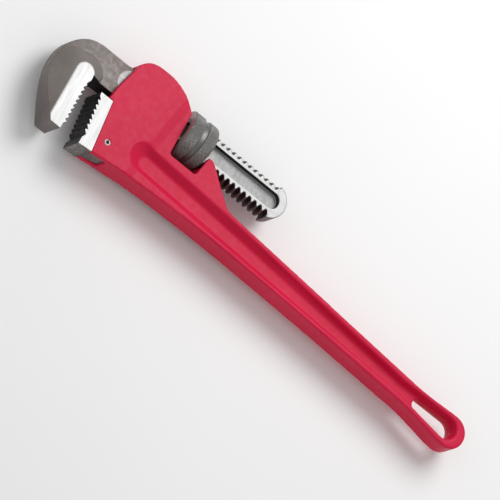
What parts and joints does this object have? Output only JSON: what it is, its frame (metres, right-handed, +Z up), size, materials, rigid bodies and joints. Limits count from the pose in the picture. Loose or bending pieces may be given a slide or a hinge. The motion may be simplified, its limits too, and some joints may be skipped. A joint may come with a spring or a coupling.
{
  "type": "pipe wrench",
  "caption": "Straight pipe wrench with a cast I-beam handle, a toothed heel jaw, and a hook jaw on a threaded shank set by a knurled nut.",
  "frame": {"origin": "middle of the heel jaw's toothed face, at mid thickness", "axes": "+X from the handle to the hook along the shank, +Y out of the jaw mouth, +Z up with the wrench lying flat"},
  "size_m": [0.5512, 0.1229, 0.0496],
  "materials": {
    "red_paint": "red paint on an iron casting",
    "forged_steel": "dark as-forged steel with ground flats",
    "ground_steel": "ground sides, blackened teeth",
    "pin_steel": "bright",
    "nut_steel": "dark, knurled",
    "spring_steel": "blued spring steel"
  },
  "bodies": {
    "handle": {"handle": "red_paint", "heel_jaw": "ground_steel", "heel_jaw_pin": "pin_steel", "spring_rivet": "pin_steel"},
    "springs": {"flat_spring": "spring_steel", "coil_spring": "spring_steel"},
    "nut": {"adjusting_nut": "nut_steel"},
    "hook": {"hook_jaw": "forged_steel"}
  },
  "joints": [
    {"name": "jaw_rock", "type": "hinge", "parent": "handle", "child": "springs", "pos_m": [-0.1057, -0.0557, 0], "axis": [0, 0, 1], "range_deg": [0, 2], "deforming": ["flat_spring", "coil_spring"]},
    {"name": "nut_spin", "type": "hinge", "parent": "springs", "child": "nut", "pos_m": [-0.1057, -0.0557, 0], "axis": [-1, 0, 0], "range_deg": [-665, 3391]},
    {"name": "jaw_slide", "type": "slide", "parent": "springs", "child": "hook", "axis": [1, 0, 0], "range_m": [-0.0128, 0.0651]}
  ],
  "couplings": [
    {"joint": "jaw_slide", "follows": "nut_spin", "m_per_rad": 0.0010982}
  ]
}
